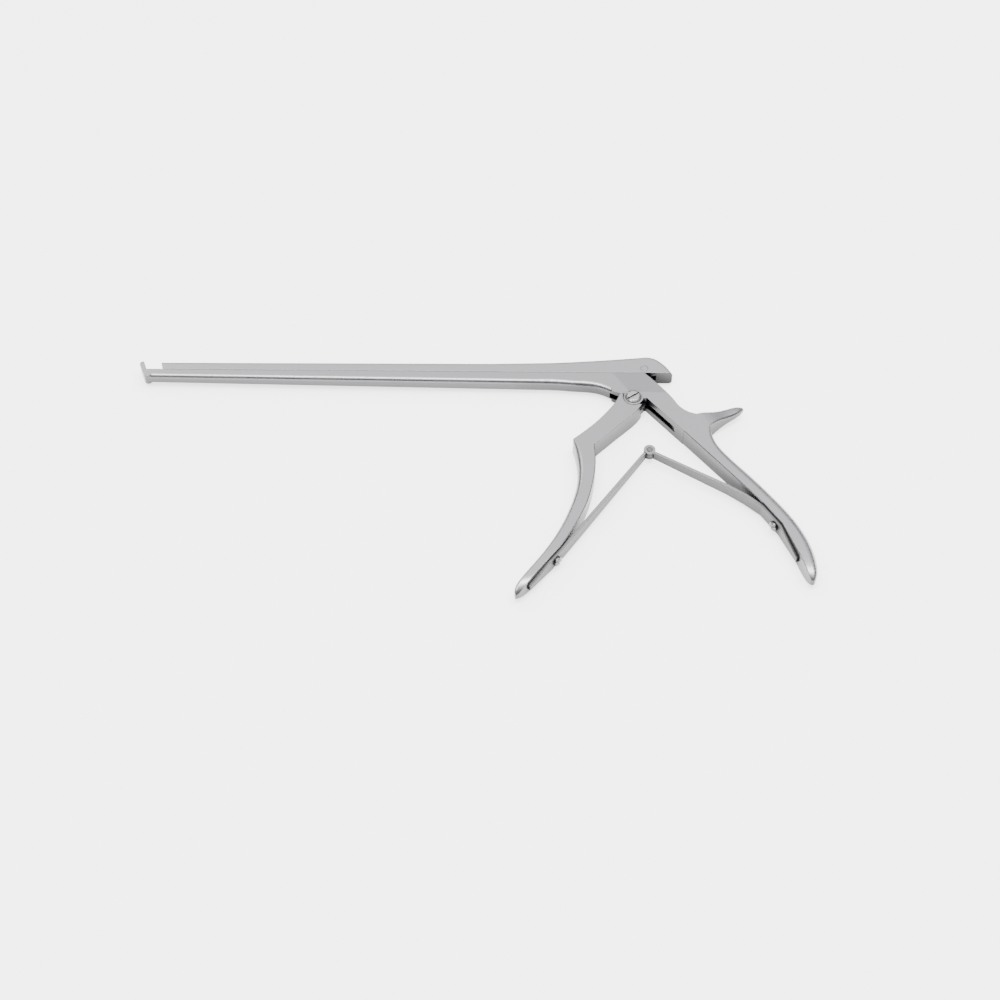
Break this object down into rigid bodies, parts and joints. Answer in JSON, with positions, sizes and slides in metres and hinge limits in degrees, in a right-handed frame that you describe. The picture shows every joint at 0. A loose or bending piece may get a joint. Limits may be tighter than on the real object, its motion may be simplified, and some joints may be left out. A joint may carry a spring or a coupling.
{
  "type": "bone rongeur",
  "caption": "Sliding-shaft bone rongeur: long straight bar with a foot-plate jaw, spring-opened curved handles and a thumb spur.",
  "frame": {"origin": "on the pivot axis, at the lower flat side of the frame, on which the instrument lies", "axes": "+X along the shaft, away from the jaw; +Y in the plane of the instrument, from the handles towards the sliding bar; +Z along the pivot axis, up from the surface it lies on"},
  "size_m": [0.2781, 0.1227, 0.0098],
  "materials": {
    "frame_steel": "satin",
    "slide_steel": "satin",
    "handle_steel": "satin",
    "spring_steel": "satin",
    "screw_steel": "polished"
  },
  "bodies": {
    "frame": {"fixed_frame": "frame_steel", "pivot_screw": "screw_steel", "rear_spring_screw": "screw_steel"},
    "trigger": {"front_handle": "handle_steel", "front_spring_screw": "screw_steel"},
    "slide": {"sliding_shaft": "slide_steel", "drive_pin": "screw_steel"},
    "front_leaf": {"front_spring": "spring_steel", "spring_hinge_pin": "screw_steel"},
    "rear_leaf": {"rear_spring": "spring_steel"}
  },
  "joints": [
    {"name": "handle_pivot", "type": "hinge", "parent": "frame", "child": "trigger", "pos_m": [0, 0, 0.0045], "axis": [0, 0, 1], "range_deg": [0, 23.94], "stiffness_Nm_per_rad": 1.2, "springref_deg": -14.32},
    {"name": "slide_travel", "type": "slide", "parent": "frame", "child": "slide", "axis": [-1, 0, 0], "range_m": [0, 0.00706]},
    {"name": "front_leaf_flex", "type": "hinge", "parent": "trigger", "child": "front_leaf", "pos_m": [-0.02965, -0.07695, 0.0045], "axis": [0, 0, 1], "range_deg": [0, 5.6], "deforming": ["front_spring"]},
    {"name": "rear_leaf_flex", "type": "hinge", "parent": "frame", "child": "rear_leaf", "pos_m": [0.0505, -0.055, 0.0045], "axis": [0, 0, 1], "range_deg": [-7.8, 0], "deforming": ["rear_spring"]}
  ],
  "couplings": [
    {"joint": "slide_travel", "follows": "handle_pivot", "m_per_rad": 0.016873},
    {"joint": "front_leaf_flex", "follows": "handle_pivot", "ratio": 0.23},
    {"joint": "rear_leaf_flex", "follows": "handle_pivot", "ratio": -0.32}
  ]
}
